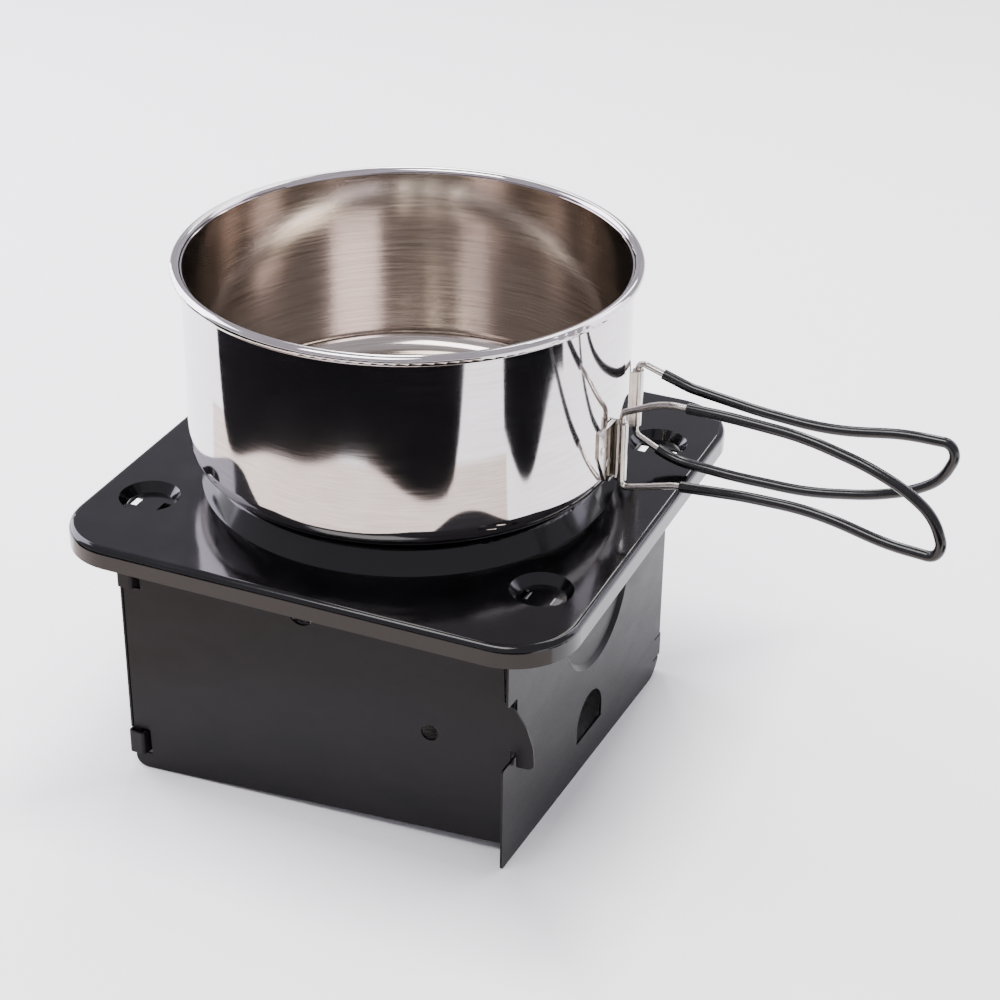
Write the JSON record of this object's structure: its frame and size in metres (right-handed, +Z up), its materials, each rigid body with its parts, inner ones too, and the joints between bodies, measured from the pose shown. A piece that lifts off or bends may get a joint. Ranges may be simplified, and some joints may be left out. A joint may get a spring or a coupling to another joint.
{
  "type": "alcohol spirit stove",
  "caption": "Folding sheet-steel stove box with hinged latching doors, a pressed lift-off top plate, a spirit burner inside and a pot with swinging wire handles.",
  "frame": {"origin": "centre of the burner's flat foot on the floor, straight below the middle of the top plate and of the pot", "axes": "+X to the right, towards the pot's handles; +Y to the back door; +Z up"},
  "size_m": [0.294, 0.19, 0.1933],
  "materials": {
    "black_gloss_enamel": "gloss black heat-proof paint",
    "black_satin_paint": "satin black heat-proof paint",
    "polished_stainless": "polished stainless steel",
    "bright_stainless": "bright rolled stainless sheet",
    "drawn_wire": "drawn stainless wire",
    "black_sleeve": "gloss black dipped vinyl",
    "burner_steel": "brushed stainless sheet",
    "screen_steel": "perforated stainless sheet",
    "mineral_wool": "white mineral wool",
    "rivet_steel": "turned steel"
  },
  "bodies": {
    "root": {"left_panel": "black_satin_paint", "right_panel": "black_satin_paint"},
    "front_door": {"front_panel": "black_satin_paint"},
    "back_door": {"back_panel": "black_satin_paint"},
    "plate": {"top_plate": "black_gloss_enamel"},
    "pot": {"pot_body": "polished_stainless", "near_handle_bracket": "bright_stainless", "far_handle_bracket": "bright_stainless"},
    "near_handle": {"near_handle_wire": "drawn_wire", "near_handle_sleeve": "black_sleeve"},
    "far_handle": {"far_handle_wire": "drawn_wire", "far_handle_sleeve": "black_sleeve"},
    "burner": {"burner_can": "burner_steel", "burner_base": "burner_steel", "burner_wool": "mineral_wool", "wool_screen": "screen_steel", "burner_collar": "burner_steel", "shutter_rivet": "rivet_steel"},
    "shutter": {"flame_shutter": "burner_steel", "shutter_knob": "rivet_steel"}
  },
  "joints": [
    {"name": "front_door_swing", "type": "hinge", "parent": "root", "child": "front_door", "pos_m": [-0.07767, -0.07114, 0.04], "axis": [0, 0, -1], "range_deg": [0, 100]},
    {"name": "back_door_swing", "type": "hinge", "parent": "root", "child": "back_door", "pos_m": [0.07301, 0.06804, 0.04], "axis": [0, 0, -1], "range_deg": [0, 100]},
    {"name": "plate_lift", "type": "slide", "parent": "root", "child": "plate", "axis": [0, 0, 1], "range_m": [0, 0.08]},
    {"name": "pot_lift", "type": "slide", "parent": "plate", "child": "pot", "axis": [0, 0, 1], "range_m": [0, 0.08]},
    {"name": "near_handle_swing", "type": "hinge", "parent": "pot", "child": "near_handle", "pos_m": [0.08195, -0.00286, 0.1352], "axis": [0, 0, 1], "range_deg": [-90, 12]},
    {"name": "far_handle_swing", "type": "hinge", "parent": "pot", "child": "far_handle", "pos_m": [0.072, 0.03925, 0.1352], "axis": [0, 0, 1], "range_deg": [-8, 120]},
    {"name": "box_over_burner", "type": "slide", "parent": "root", "child": "burner", "axis": [0, 0, 1], "range_m": [-0.08, 0]},
    {"name": "shutter_swing", "type": "hinge", "parent": "burner", "child": "shutter", "pos_m": [-0.01838, -0.01838, 0.061], "axis": [0, 0, 1], "range_deg": [0, 100]}
  ]
}
